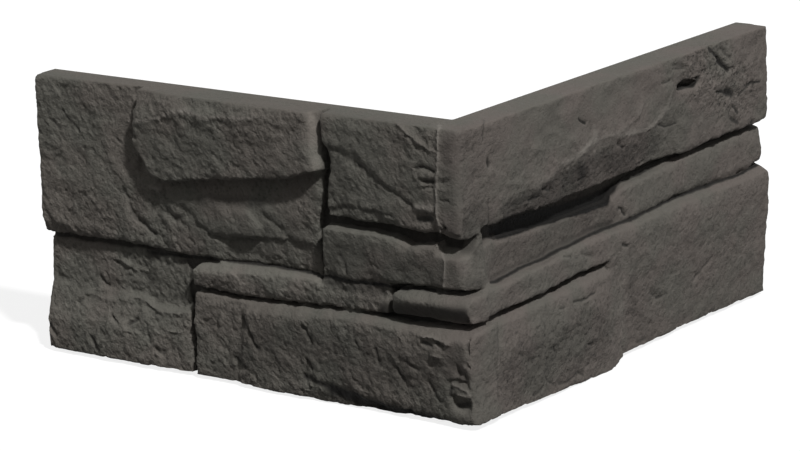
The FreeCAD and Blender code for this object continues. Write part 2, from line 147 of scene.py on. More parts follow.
clean = shown_copy(node, "clean_form")
merged = bmesh.new()
merged.from_mesh(clean.data)
bmesh.ops.remove_doubles(merged, verts=merged.verts, dist=MERGE_GAP)
bmesh.ops.recalc_face_normals(merged, faces=merged.faces)
merged.to_mesh(clean.data)
merged.free()
wrap = clean.modifiers.new("wrap", "REMESH")
wrap.mode = "VOXEL"
wrap.voxel_size = VOXEL
skin = shown_copy(clean, "skin")
drop(clean)
print("skin vertices", len(skin.data.vertices))

# %% [markdown]
# Small tools for node trees
#
# A tree is easier to read when each node is one call that names its inputs. The helper makes a node, sets
# its options, and either links or fills each input, so the trees below read like formulas. The trees for
# shapes and the ones for colours share these tools, because both ask the same of a place: how far it stands
# out, on which leg it is, and how rough it may be.

# %% Node helpers
def add(tree, kind, inputs=None, **options):
    """A new node with its options set and its inputs linked to sockets or filled with values."""
    made = tree.nodes.new(kind)
    for key, value in options.items():
        setattr(made, key, value)
    for key, value in (inputs or {}).items():
        socket = made.inputs[key]
        if isinstance(value, bpy.types.NodeSocket):
            tree.links.new(value, socket)
        else:
            socket.default_value = value
    return made


def maths(tree, operation, *values):
    """The output of a Math node."""
    return add(tree, "ShaderNodeMath", dict(enumerate(values)), operation=operation).outputs[0]


def product(tree, first, *others):
    """Several numbers multiplied in turn."""
    for other in others:
        first = maths(tree, "MULTIPLY", first, other)
    return first


def inverse(tree, share):
    """What a share leaves of one."""
    return maths(tree, "SUBTRACT", 1.0, share)


def ramp(tree, value, low, high):
    """0 at low, 1 at high and a smooth change between."""
    made = add(tree, "ShaderNodeMapRange", {"Value": value}, interpolation_type="SMOOTHSTEP")
    made.inputs["From Min"].default_value = low
    made.inputs["From Max"].default_value = high
    return made.outputs[0]


def blend(tree, factor, first, second):
    """The first number at 0 and the second at 1."""
    return add(tree, "ShaderNodeMix", {"Factor": factor, 2: first, 3: second}).outputs[0]


def vector_maths(tree, operation, first, second):
    """The vector that a Vector Math node makes of two others."""
    return add(tree, "ShaderNodeVectorMath", {0: first, 1: second}, operation=operation).outputs[0]


def scaled(tree, vector, factor):
    """A vector times a number."""
    return add(tree, "ShaderNodeVectorMath", {0: vector, "Scale": factor}, operation="SCALE").outputs[0]


def parts_of(tree, vector):
    """The three numbers of a vector."""
    return add(tree, "ShaderNodeSeparateXYZ", {0: vector}).outputs


def joined(tree, x=0.0, y=0.0, z=0.0):
    """The vector of three numbers."""
    return add(tree, "ShaderNodeCombineXYZ", {0: x, 1: y, 2: z}).outputs[0]


def cloud(tree, where, wavelength, detail=2.0, roughness=0.5):
    """The outputs of a noise node whose features are about one wavelength across."""
    scale = maths(tree, "DIVIDE", 1.0, wavelength)
    return add(tree, "ShaderNodeTexNoise", {
        "Vector": where, "Scale": scale, "Detail": detail, "Roughness": roughness}).outputs


print("tools for node trees are ready")

# %% Where a place is on the panel
# The share of the right leg rises over these millimetres, out from that leg's own wall side
RIGHT_STARTS = 0.0
RIGHT_FULL = 16.0
# The bedding leans down to the right on the left leg, and up to the right on the right leg. Each lean is an
# axis to turn about, an angle in degrees and a squeeze.
LEFT_LEAN = ("Y_AXIS", -52, (0.78, 1.0, 1.1))
RIGHT_LEAN = ("X_AXIS", -38, (1.0, 0.7, 1.1))
# A ledge faces up by this much. The corner's arris lies past these millimetres on the left leg's front.
LEDGE_FACING = (0.2, 0.65)
LEDGE_CALM = 0.6
ARRIS_SPAN = (3.0, 12.0)
ARRIS_FACING = (-0.3, -0.7)
ARRIS_CALM = 0.25


def standing_out(tree, apart):
    """How far out from the wall side a place is, on either leg."""
    return maths(tree, "MAXIMUM", product(tree, apart[1], -1.0), apart[0])


def right_share(tree, apart):
    """0 on the left leg and 1 on the right one."""
    return ramp(tree, apart[0], RIGHT_STARTS, RIGHT_FULL)


def leaning(tree, place, axis, degrees, stretch):
    """Places turned about an axis and squeezed, so that a pattern there is drawn out along a leaning line."""
    turned = add(tree, "ShaderNodeVectorRotate", {"Vector": place, "Angle": math.radians(degrees)},
                 rotation_type=axis)
    return vector_maths(tree, "MULTIPLY", turned.outputs[0], stretch)


def calm_share(tree, along, normal, patch_rough):
    """How much of the roughness a place gets: less where water and hands reach, on ledges and the arris."""
    facing = parts_of(tree, normal)
    ledge = ramp(tree, facing[2], *LEDGE_FACING)
    arris = product(tree, ramp(tree, along, *ARRIS_SPAN), ramp(tree, facing[1], *ARRIS_FACING))
    calm_ledge = maths(tree, "MULTIPLY_ADD", ledge, -LEDGE_CALM, 1.0)
    calm_arris = maths(tree, "MULTIPLY_ADD", arris, -ARRIS_CALM, 1.0)
    return product(tree, patch_rough, calm_ledge, calm_arris)


print("bedding leans by", LEFT_LEAN[1], "and", RIGHT_LEAN[1], "degrees")

# %% Helpers for geometry trees
def geometry_tree(name, sizes):
    """A new geometry tree with a named input for each size, and the outputs that carry its inputs."""
    tree = bpy.data.node_groups.new(name, "GeometryNodeTree")
    tree.interface.new_socket("Geometry", in_out="INPUT", socket_type="NodeSocketGeometry")
    for key, value in sizes.items():
        kind = "NodeSocketInt" if isinstance(value, int) else "NodeSocketFloat"
        tree.interface.new_socket(key, in_out="INPUT", socket_type=kind).default_value = value
    tree.interface.new_socket("Material", in_out="INPUT", socket_type="NodeSocketMaterial")
    tree.interface.new_socket("Geometry", in_out="OUTPUT", socket_type="NodeSocketGeometry")
    return tree, tree.nodes.new("NodeGroupInput").outputs


def end_tree(tree, given, geometry):
    """Ends a geometry tree, with instances made real and the material set."""
    real = add(tree, "GeometryNodeRealizeInstances", {"Geometry": geometry})
    dressed = add(tree, "GeometryNodeSetMaterial", {
        "Geometry": real.outputs[0], "Material": given["Material"]})
    add(tree, "NodeGroupOutput", {"Geometry": dressed.outputs[0]})
    print("tree", tree.name, "has", len(tree.nodes), "nodes")


def input_key(tree, name):
    """The identifier by which a modifier knows one of its tree's inputs."""
    for item in tree.interface.items_tree:
        if item.in_out == "INPUT" and item.name == name:
            return item.identifier
    raise KeyError(name)


def grown(source, tree, name, material):
    """A plain mesh object of a source with a geometry tree run over it once."""
    modifier = source.modifiers.new("grow", "NODES")
    modifier.node_group = tree
    modifier[input_key(tree, "Material")] = material
    made = shown_copy(source, name)
    drop(source)
    return made


# Its nodes follow after the shape
stone_material = bpy.data.materials.new("cast_stone")
print("material", stone_material.name)

# %% [markdown]
# Worn arrises
#
# Neither the split stones nor the rubber mould hold a knife edge, so every arris is a little round. Each
# point moves to the middle of its neighbours a few times, which rounds edges and leaves flat faces flat.
# A bevel would need clean edges to start from, and the skin has none.
# The backing and the wall side are left out, so that joints stay open and cast edges stay straight.

# %% Worn tree
# How far out from the backing, and how far up from the foot, the wear starts and is full, in millimetres
WORN_OUT = (2.0, 4.0)
WORN_UP = (0.5, 4.0)


def worn_tree():
    """A geometry tree that rounds the arrises of whatever stands out from the backing."""
    tree, given = geometry_tree("worn_arrises", {"Rounds": 8})
    place = add(tree, "GeometryNodeInputPosition").outputs[0]
    apart = parts_of(tree, scaled(tree, place, 1 / mm))
    share = ramp(tree, standing_out(tree, apart), *(BACKING / mm + out for out in WORN_OUT))
    share = product(tree, share, ramp(tree, apart[2], *WORN_UP))
    blurred = add(tree, "GeometryNodeBlurAttribute", {
        "Iterations": given["Rounds"], "Weight": share}, data_type="FLOAT_VECTOR")
    value = [socket for socket in blurred.inputs if socket.name == "Value" and socket.enabled][0]
    tree.links.new(place, value)
    middle = [socket for socket in blurred.outputs if socket.enabled][0]
    moved = add(tree, "GeometryNodeSetPosition", {"Geometry": given["Geometry"], "Position": middle})
    end_tree(tree, given, moved.outputs[0])
    return tree


skin = grown(skin, worn_tree(), "worn_skin", stone_material)
print("worn vertices", len(skin.data.vertices))

# %% [markdown]
# Marks one by one
#
# Some marks are this stone's own: cracks, chips, thin ridges, and the fine seam where the two halves of the
# mould met. A sculptor would press them in by hand. Here each is a short line with a height and a half width
# in millimetres, below zero for a crack, and a tone. The tone is mostly painted light: below zero it is
# painted shade in cracks, pits and joints, and above zero it is mostly a painted highlight on lit ridges and
# chip edges. The places are read on an upright plane 20 mm out from the wall, and each mark lands where the
# camera's line of sight through that place meets the stone. Lists are the right form for them, since they
# follow no rule.
#
# Stones also differ as wholes: one is darker because the pour took more pigment there, one is smoother
# because it was copied from a worn stone. Those patches are lines with a wide half width. Narrower patches
# paint light: painted shadows cast by overhangs and stones above, painted shade in gaps and undercuts, and
# painted highlights on lit chamfers and returns. Their first number is a change of roughness, and their third
# a change of tone, as shares of the usual. Last, the stones hang down a few millimetres lower than the
# backing, most of all in the middle of the bottom corner stone and at the right end of the bottom right
# stone.

# %% Marks on the left leg
# Each mark is its height, half width and tone (painted shade below zero, mostly painted highlight above), and
# then the places that its line runs through
LEFT_MARKS = [
    # Tall end stone
    (-0.6, 1.0, -0.4, [(-243, 133), (-239, 129), (-232, 123)]),
    (-0.5, 1.0, -0.4, [(-252, 128), (-246, 123)]),
    (-0.5, 1.0, -0.4, [(-231, 115), (-222, 114)]),
    (-0.5, 1.0, -0.4, [(-208, 123), (-203, 120)]),
    (-0.5, 1.0, -0.3, [(-233, 89), (-225, 85)]),
    (-1.5, 1.6, -0.4, [(-203, 93), (-200, 90), (-199, 84), (-196, 80), (-189, 77), (-184, 73)]),
    # Overhanging chunk
    (0.4, 1.8, 0.5, [(-196, 132), (-177, 136), (-166, 140), (-158, 142)]),
    (0.4, 1.8, 0.5, [(-158, 142), (-143, 140), (-122, 142), (-105, 144)]),
    (-1.0, 1.2, -0.4, [(-196, 127), (-193, 124)]),
    (2.4, 2.0, 0.5, [(-182, 98), (-176, 98)]),
    # Joint under the tall stone, painted shade
    (-1.0, 0.9, -0.9, [(-186, 62.4), (-166, 63.4), (-140, 64.8), (-115, 65.7), (-92, 66.1), (-74, 65.5)]),
    # Hollow under the chunk
    (0.6, 9.0, 0.0, [(-150, 86), (-118, 86)]),
    (-1.0, 1.4, -0.35, [(-174, 86), (-170, 83.5), (-164, 84)]),
    (-0.8, 1.3, -0.3, [(-170, 82), (-164, 81)]),
    (-0.9, 1.5, -0.3, [(-153, 82), (-148, 80), (-144, 77), (-137, 76), (-113, 79)]),
    (0.4, 1.0, 0.1, [(-119, 92), (-112, 87), (-113, 81)]),
    (-0.8, 1.6, -0.2, [(-108, 92), (-100, 87), (-91, 82), (-85, 78)]),
    # Upper corner stone
    (-0.5, 2.6, -0.25, [(-64, 133.5), (-53, 131), (-45, 126)]),
    (-0.7, 1.3, -0.35, [(-45, 126), (-33, 119), (-29, 118), (-25, 115), (-21, 113), (-13, 109)]),
    (-0.7, 1.2, -0.35, [(-64, 100), (-54, 103), (-45, 103.7), (-35, 103.3), (-26, 102)]),
    (0.9, 1.2, 0.4, [(-18, 150), (-9, 143.5), (-6, 141), (-1, 139), (3, 138)]),
    (-0.7, 1.0, -0.3, [(-9, 149), (-7, 145), (-3, 142)]),
    (-1.4, 1.0, -0.6, [(-9, 128.5), (-4, 130), (2, 128)]),
    (0.7, 1.5, 0.2, [(-5, 126), (0, 125)]),
    (-1.8, 1.2, -0.6, [(-5, 122.5), (1, 122.5)]),
    (-1.0, 0.9, -0.4, [(-5, 119), (1, 119.5)]),
    (1.5, 2.0, 1.0, [(-9, 108), (-1, 108.7)]),
    (-1.0, 1.8, -0.7, [(-9, 102.2), (-1.3, 103.4)]),
    (-2.6, 1.2, -0.8, [(7.5, 100)]),
    (0.5, 0.7, 0.4, [(6, 126), (10.8, 127)]),
    (-0.6, 0.7, -0.4, [(6, 123), (10.6, 124.4)]),
    (0.5, 0.7, 0.3, [(5.5, 119.2), (10.4, 119.3)]),
    (-0.6, 0.7, -0.4, [(5.3, 114.1), (10.2, 114.2)]),
    # Middle corner stone
    (-1.0, 1.0, -0.9, [(-74, 64.5), (-50, 64.6), (-26, 65.3), (0, 66.8)]),
    (-0.7, 1.2, -0.3, [(-60, 77), (-57, 73), (-56, 68)]),
    (-0.6, 1.2, -0.3, [(-39, 82), (-37, 79)]),
    (-0.6, 1.3, -0.2, [(-27, 89), (-18, 86)]),
    (-0.5, 1.0, -0.2, [(-40, 76), (-35, 74)]),
    # Low end stone
    (0.9, 1.3, 0.2, [(-214, 57), (-208, 56), (-202, 54), (-196, 52), (-190, 52)]),
    (-0.9, 1.0, -0.3, [(-211, 54), (-205, 52), (-200, 51)]),
    (-1.2, 1.3, -0.4, [(-223, 44.5), (-218, 40)]),
    (1.0, 1.4, 0.2, [(-241, 30), (-231, 35)]),
    (0.9, 1.8, 0.2, [(-226, 33), (-217, 32), (-207, 34), (-197, 37), (-186, 33), (-180, 31), (-163, 32)]),
    (-1.3, 1.1, -0.5, [(-216, 22.5), (-213, 19.5)]),
    (-1.3, 1.1, -0.5, [(-206, 20), (-200, 23.5)]),
    (0.8, 1.0, 0.3, [(-208, 17), (-200, 16)]),
    (-1.2, 1.2, -0.4, [(-193, 20), (-191, 12)]),
    (-1.3, 1.5, -0.5, [(-233, 9), (-230, 5), (-228, 3)]),
    (-1.0, 1.2, -0.4, [(-187, 10), (-182, 7)]),
    (0.7, 0.9, 0.3, [(-176, 21), (-169, 21)]),
    (-0.9, 1.2, -0.4, [(-263, 12), (-259, 7)]),
    # Bottom corner stone, broken edge and face
    (-1.3, 1.2, -0.5, [(-126, 35), (-122, 28), (-120, 24), (-116, 19)]),
    (-1.2, 1.8, -0.5, [(-131, 13), (-126, 8)]),
    (-1.1, 1.2, -0.4, [(-86, 36), (-81, 28)]),
    (-1.2, 1.2, -0.5, [(-84, 18), (-81, 14)]),
    (-0.7, 1.2, -0.4, [(-67, 29), (-65, 24)]),
    (-0.6, 1.1, -0.3, [(-53, 38), (-51, 31)]),
    (-0.7, 1.2, -0.4, [(-39, 31), (-37, 22)]),
    (-1.2, 1.1, -0.5, [(-27, 23), (-25, 20), (-22, 17)]),
    (1.0, 1.0, 0.4, [(-28, 29), (-26, 26)]),
    (0.8, 1.0, 0.3, [(-84, 10), (-82, 6)]),
    (-1.0, 1.2, -0.4, [(-19, 27), (-13, 23)]),
    (-1.0, 1.2, -0.4, [(-7, 18), (-3, 14), (0, 10)]),
    # Bottom corner stone, painted shade in the recess along the foot
    (-1.2, 1.7, -0.9, [(-86, 9.5), (-78, 8), (-70, 6.6)]),
    (-1.4, 2.2, -1.0, [(-69, 5.6), (-60, 4.6), (-52, 3.9)]),
    (-1.4, 2.0, -1.0, [(-53, 3), (-46, 2.4), (-38, 2.2)]),
    (-1.2, 1.9, -1.0, [(-37, 1.8), (-27, 1.2), (-19, 1.4)]),
    (-1.0, 1.7, -1.0, [(-17, 0.6), (-6, 0.2), (6, -0.6)]),
    # Bottom corner stone, chips
    (1.2, 1.1, 0.4, [(-9, 42), (-5, 43), (0, 42), (3, 41), (7, 40)]),
    (-1.8, 1.5, -0.6, [(-9, 38.5), (-4, 37.5)]),
    (-1.5, 1.2, -0.5, [(-1, 39.5), (3, 38.5)]),
    (0.8, 0.9, 0.3, [(-4, 33), (2, 33)]),
    (-1.4, 1.2, -0.5, [(18, 30.5), (21, 29.5)]),
    (-1.6, 1.8, -0.4, [(12, 26), (15, 25.5), (17, 23)]),
    (1.2, 1.4, 0.8, [(9.5, 20), (14, 18.5), (18, 17)]),
    (-0.9, 1.3, -0.6, [(7.5, 17), (7, 13.3)]),
    (1.2, 1.3, 0.7, [(12, 14.2), (17, 14), (21, 15.3)]),
    (-0.8, 1.8, -0.6, [(11.5, 8.8), (19, 9.9)]),
    (0.8, 1.0, 0.5, [(15.3, 29.1), (20, 31.4)]),
    (-1.2, 1.2, -0.4, [(20, 44), (18.5, 41), (20.5, 36)]),
    # Thin corner stone
    (-1.0, 1.2, -0.5, [(21, 55), (19, 53)]),
    # Mould seam
    (0.9, 0.8, 1.0, [(7, 152), (5.5, 149), (4.8, 139), (3.6, 114), (3.2, 105), (4.8, 96)]),
    (0.9, 0.8, 1.0, [(2, 91), (5.6, 88.6), (6.5, 82), (6.2, 67)]),
]
print("left marks", len(LEFT_MARKS))

# %% Marks on the right leg
RIGHT_MARKS = [
    # Returns of the corner stones
    (-0.8, 1.0, -0.4, [(-39, 130), (-33, 128)]),
    (0.6, 0.9, 0.2, [(-37, 132), (-30, 130.5)]),
    (-0.8, 1.0, -0.4, [(-39, 125.5), (-34, 124.5)]),
    (-0.6, 1.0, -0.3, [(-27, 116), (-20, 114)]),
    (-0.7, 1.0, -0.4, [(-1, 152), (-2, 142)]),
    (-2.2, 1.2, -0.8, [(2, 131), (3, 128)]),
    (-0.6, 0.7, -0.4, [(1.5, 113.6), (1, 99)]),
    # Tall right stone, ridges
    (0.4, 2.4, 0.45, [(39, 109.4), (57.6, 111.2), (65.3, 115), (80.8, 117.2), (86.5, 119.3)]),
    (0.3, 2.4, 0.4, [(80, 117), (86.5, 119.3), (96, 120.5)]),
    (0.4, 2.2, 0.4, [(96, 120.5), (115.7, 120.9), (127.5, 119.6), (147.6, 118.1), (155.8, 119.9)]),
    (0.3, 1.8, 0.5, [(155.8, 119.9), (164.1, 125.5), (168.5, 132.6)]),
    (0.3, 2.2, 0.5, [(86.5, 119.3), (96.4, 123.9), (94.6, 128.7)]),
    (0.3, 1.4, 0.5, [(115.6, 118.7), (141.4, 116.6), (151.7, 119)]),
    (0.6, 1.3, 0.2, [(119, 122), (132, 124), (137, 127), (141, 132)]),
    (0.5, 1.2, 0.1, [(39, 129), (50, 127)]),
    (0.5, 1.2, 0.1, [(53, 134), (64, 132)]),
    (0.5, 1.1, 0.1, [(18, 116), (28, 113.5)]),
    # Tall right stone, cracks and pits
    (-0.9, 0.8, -1.0, [(81, 136), (84, 134), (87.5, 132)]),
    (-1.0, 0.9, -0.6, [(35, 103), (39, 103.5), (45, 103.5)]),
    (-0.9, 0.9, -0.5, [(46, 107), (55, 104)]),
    (-0.9, 0.9, -0.5, [(78, 104), (85, 104.5)]),
    (-1.0, 1.0, -0.5, [(117, 115), (121, 112)]),
    (-0.5, 0.6, -0.7, [(154, 117.5), (161, 114.5), (172, 114.5)]),
    (-0.8, 0.9, -0.4, [(133, 100), (141, 101)]),
    (-0.8, 0.9, -0.5, [(159, 139), (167, 138.5)]),
    (-0.7, 1.0, -0.4, [(169, 146.5), (180, 144)]),
    (-0.7, 1.0, -0.4, [(169, 144), (183, 142)]),
    (-2.4, 1.8, -0.9, [(175, 133), (183, 132.5), (189, 132), (195, 133.5)]),
    (-0.9, 1.0, -0.8, [(206, 148), (215, 141)]),
    (-1.5, 1.7, -1.0, [(215, 140.5), (224, 133.5)]),
    (-0.6, 1.2, -0.4, [(219, 146), (226, 140)]),
    (-0.6, 1.2, -0.4, [(202, 145), (207, 139)]),
    (-0.9, 1.0, -0.9, [(212, 123.5), (219, 122)]),
    (-1.5, 2.3, -1.0, [(222, 121.5), (228.5, 118.5)]),
    (-0.8, 1.1, -0.8, [(228, 112), (233, 107.5)]),
    (-0.6, 1.5, -0.6, [(226, 105.5), (234, 101.5)]),
    (-0.5, 0.8, -0.6, [(235, 116.6), (246, 120.8)]),
    (-0.6, 0.8, -0.9, [(246, 121.5), (256, 120.3)]),
    (-1.2, 1.2, -0.6, [(247, 98.5), (249, 99.5)]),
    # Joint between the middle and thin right stones, painted shade
    (-0.6, 1.1, -1.0, [(0, 69), (22, 69.7), (54, 71.1), (88, 72.9), (107, 73), (126, 72.3)]),
    (-0.6, 1.1, -1.0, [(126, 72.3), (146, 73.2), (169, 74.5), (193, 74), (228, 73), (256, 74.2)]),
    # Middle and thin right stones
    (-1.3, 0.9, -0.8, [(115, 81.3), (118.5, 80.5), (120, 78), (122, 76)]),
    (-0.6, 0.9, -0.4, [(64, 67), (71, 65.5)]),
    (-0.6, 0.9, -0.3, [(80, 64), (91, 60.5)]),
    # Bottom right stone
    (-0.7, 0.9, -0.5, [(60, 40), (64, 39.5)]),
    (-1.0, 0.9, -0.6, [(73, 40.5), (79, 40), (84, 40), (92, 41)]),
    (-0.9, 1.1, -0.5, [(84, 15.5), (88, 14)]),
    (-0.8, 1.0, -0.5, [(65, 27)]),
    (-0.8, 1.0, -0.5, [(71, 10)]),
    (-0.8, 1.0, -0.5, [(46, 17)]),
    (-0.8, 1.0, -0.5, [(40, 24)]),
    (-0.8, 1.0, -0.5, [(53, 22), (55, 19)]),
    (-0.6, 1.0, -0.4, [(32, 19.5), (37, 19)]),
    (-0.6, 1.0, -0.4, [(23, 26), (27, 24)]),
    (-0.6, 0.9, -0.5, [(45, 8), (48, 5), (52, 3)]),
    (-0.6, 0.9, -0.5, [(56, 2), (64, 1.5), (70, 3), (74, 4), (79, 1.5)]),
    (-0.9, 1.2, -0.5, [(34, 2), (43, 4)]),
    (-0.5, 0.8, -0.35, [(5, 46), (5.5, 37), (4, 22), (4, 7)]),
    # Low right stone
    (-1.0, 1.1, -0.6, [(118, 60.5), (123, 58.5)]),
    (-0.8, 1.0, -0.5, [(110, 56.5)]),
    (-0.8, 1.0, -0.5, [(112, 51)]),
    (-0.8, 1.2, -0.4, [(99, 54), (104, 50)]),
    (-0.7, 1.0, -0.4, [(187, 25), (195, 29), (203, 33)]),
    (-0.7, 1.0, -0.4, [(143, 28), (148, 25)]),
    (-0.8, 1.1, -0.5, [(150, 23.5), (155, 23.5)]),
    (-0.8, 1.1, -0.5, [(142, 11)]),
    (-0.7, 1.0, -0.4, [(130, 4.5), (138, 4.5)]),
    (-0.6, 1.0, -0.3, [(163, 33.5), (170, 33.5)]),
]
print("right marks", len(RIGHT_MARKS))

# %% Patches
# Each patch is its change of roughness, half width and change of tone, and then the places of its line. In
# the narrow ones the tone is mostly painted shade or painted highlight.
LEFT_PATCHES = [
    # The cast top
    (0.0, 3.5, -0.10, [(-262, 152), (0, 152)]),
    # Tall stone: end part, hollow and chunk. Under the chunk a painted shadow and a slight painted lightening
    # of that shadow; a painted highlight on the chunk's lit right chamfer
    (-0.2, 30.0, 0.04, [(-240, 115), (-215, 115)]),
    (-0.35, 14.0, -0.12, [(-150, 86), (-90, 82)]),
    (-0.4, 4.5, 0.06, [(-170, 95.5), (-90, 96)]),
    (0.0, 3.2, -0.40, [(-150, 95.3), (-109, 99)]),
    (-0.25, 14.0, 0.06, [(-180, 118), (-95, 122)]),
    (-0.7, 4.0, 0.55, [(-73.5, 147), (-71.5, 122)]),
    # Upper corner stone
    (-0.3, 30.0, -0.04, [(-60, 125), (-20, 120)]),
    (-0.2, 7.0, -0.13, [(14, 145), (14, 95)]),
    # Middle corner stone
    (-0.5, 11.0, -0.26, [(-62, 77), (2, 77)]),
    # Low end stone
    (0.0, 14.0, 0.10, [(-250, 18), (-170, 18)]),
    (-0.1, 9.0, 0.05, [(-255, 60), (-190, 58)]),
    # Thin left stone, with the shadow of the middle corner stone painted on its right part
    (-0.3, 7.5, 0.28, [(-158, 59), (-75, 59)]),
    (0.0, 4.6, -0.50, [(-68, 63), (-34, 63)]),
    # Thin corner stone, with painted shade on its undercut front
    (-0.8, 4.8, -0.72, [(-31, 52.7), (17, 56.7)]),
    # Bottom corner stone, with painted shade along the foot and on the broken step
    (-0.1, 15.0, -0.28, [(-116, 24), (6, 22)]),
    (0.0, 3.8, -0.45, [(-70, 5), (-57, 3), (-38, 1), (-18, 0), (0, -1)]),
    (0.2, 4.0, -0.30, [(-128, 17), (-122, 10)]),
]
RIGHT_PATCHES = [
    # Returns of the corner stones, with a painted highlight on the rounded return and painted shade above it
    # and near its bottom
    (0.2, 18.0, -0.12, [(-20, 140), (-20, 95)]),
    (0.4, 10.0, -0.25, [(-30, 104), (-6, 104)]),
    (-0.5, 4.5, 0.25, [(-24, 84), (-17, 84)]),
    (0.0, 3.5, -0.30, [(-29, 94), (-12, 88)]),
    (0.0, 3.0, -0.30, [(-32, 75.6), (-9, 71)]),
    # Tall right stone
    (-0.4, 12.0, 0.05, [(20, 140), (150, 138)]),
    (0.8, 9.0, -0.49, [(18, 100), (80, 106)]),
    (0.6, 7.0, -0.37, [(84, 108), (150, 108)]),
    (0.3, 7.0, -0.18, [(105, 110), (126, 102)]),
    (1.3, 18.0, 0.02, [(195, 140), (235, 120)]),
    # Gap under the tall right stone, with that stone's shadow painted on it
    (0.0, 3.8, -0.95, [(1, 95.6), (30, 94.2), (60, 92.9), (91, 92), (110, 92.5)]),
    (0.0, 3.4, -1.60, [(8, 92.2), (25, 91), (39, 91.2), (54, 89.6), (70, 89.7), (86, 88.1), (104, 88)]),
    # Middle and thin right stones, with painted shade on the middle stone and along their joint
    (0.3, 7.0, -0.27, [(6, 80), (108, 80)]),
    (0.0, 1.9, -0.45, [(0, 71.4), (22, 72.1), (54, 73.5), (88, 75.2), (107, 75.2)]),
    # Bottom right stone
    (0.8, 17.0, -0.29, [(20, 18), (92, 20)]),
    # Low right stone
    (0.0, 3.5, 0.15, [(120, 60), (117, 42), (116, 12)]),
    (0.2, 5.0, -0.14, [(127, 40), (126, 24), (137, 11), (149, -2)]),
    (0.2, 22.0, -0.05, [(130, 35), (230, 35)]),
]
print("patches", len(LEFT_PATCHES) + len(RIGHT_PATCHES))

# %% Sags of the bottom edge
# How far along the leg, and how far the stones hang below the backing there
LEFT_SAG = [(-265, 1.2), (-130, 1.4), (-100, 2.0), (-65, 3.0), (-45, 2.4), (-20, 1.3), (20, 0.8)]
RIGHT_SAG = [(-20, 0.4), (10, 0.3), (50, 1.8), (85, 3.2), (108, 3.6), (116, 1.0), (200, 0.8), (265, 1.5)]
# How far up from the foot the sag is felt, in millimetres
SAG_REACH = 14.0
print("largest sag in mm", max(drop for along, drop in LEFT_SAG + RIGHT_SAG))

# %% Where a mark lands
SEEN_OUT = 20.0 * mm
# A mark's tone is this much narrower than its height
TONE_NARROWER = 1.15
# Stands in for the length of a line with only one place
TINY = 1e-9


def seen_at(points, axis, plane):
    """Where the lines of sight to some points meet the plane across one axis."""
    eye = np.array(CAMERA_PLACE)
    share = (plane - eye[axis]) / (points[:, axis] - eye[axis])
    return eye + share[:, None] * (points - eye)


def distance_to(line, places):
    """How far each place is from a line through some points."""
    nearest = np.full(len(places), np.inf)
    for start, end in zip(line, line[1:] or line):
        run = np.subtract(end, start)
        share = np.clip((places - start) @ run / max(run @ run, TINY), 0.0, 1.0)
        gap = places - (np.array(start) + share[:, None] * run)
        nearest = np.minimum(nearest, np.hypot(gap[:, 0], gap[:, 1]))
    return nearest


def pressed(marks, places, fall=2):
    """The first number and the tone that a list of marks adds up to at each place."""
    amount = np.zeros(len(places))
    tone = np.zeros(len(places))
    for lift, half, shade, line in marks:
        away = distance_to(line, places) / half
        amount += lift * np.exp(-(away**fall))
        tone += shade * np.exp(-((TONE_NARROWER * away) ** fall))
    return amount, tone


print("places are read", round(SEEN_OUT / mm, 1), "mm out from the wall side")

# %% Press the marks in
# A point belongs to a leg's front if it faces it by more than the least. A straight rise, as slope and start,
# then gives the share of a mark's height and of its tone by how squarely the point faces.
FACING_LEAST = -0.5
HEIGHT_RISE = (1.5, -0.3)
TONE_RISE = (4.0, 1.0)
# The sag starts this far out from the backing and is full after the run, in millimetres
SAG_START = 1.0
SAG_RUN = 3.0
# A patch has a steeper edge than a mark, and a place gets no darker and no smoother than this
PATCH_FALL = 4
PATCH_DARKEST = -0.97
ROUGH_LEAST = 0.1
TONE_COUNTED = 0.1


def vectors_of(obj, key):
    """One vector for each point."""
    values = np.empty(len(obj.data.vertices) * 3)
    obj.data.vertices.foreach_get(key, values)
    return values.reshape(-1, 3)


def keep(obj, name, values):
    """Stores one number for each point."""
    obj.data.attributes.new(name, "FLOAT", "POINT").data.foreach_set("value", values)


def rising(values, slope, start):
    """A share that rises in a straight line between 0 and 1."""
    return np.clip(values * slope + start, 0.0, 1.0)


def hanging(along, out, up, sag):
    """How far stone hangs down at each place: most at the foot, and not at all on the backing."""
    standing = np.clip(out - BACKING / mm - SAG_START, 0.0, SAG_RUN) / SAG_RUN
    low = np.clip(1.0 - up / SAG_REACH, 0.0, 1.0) ** 2
    return np.interp(along, *zip(*sag)) * standing * low


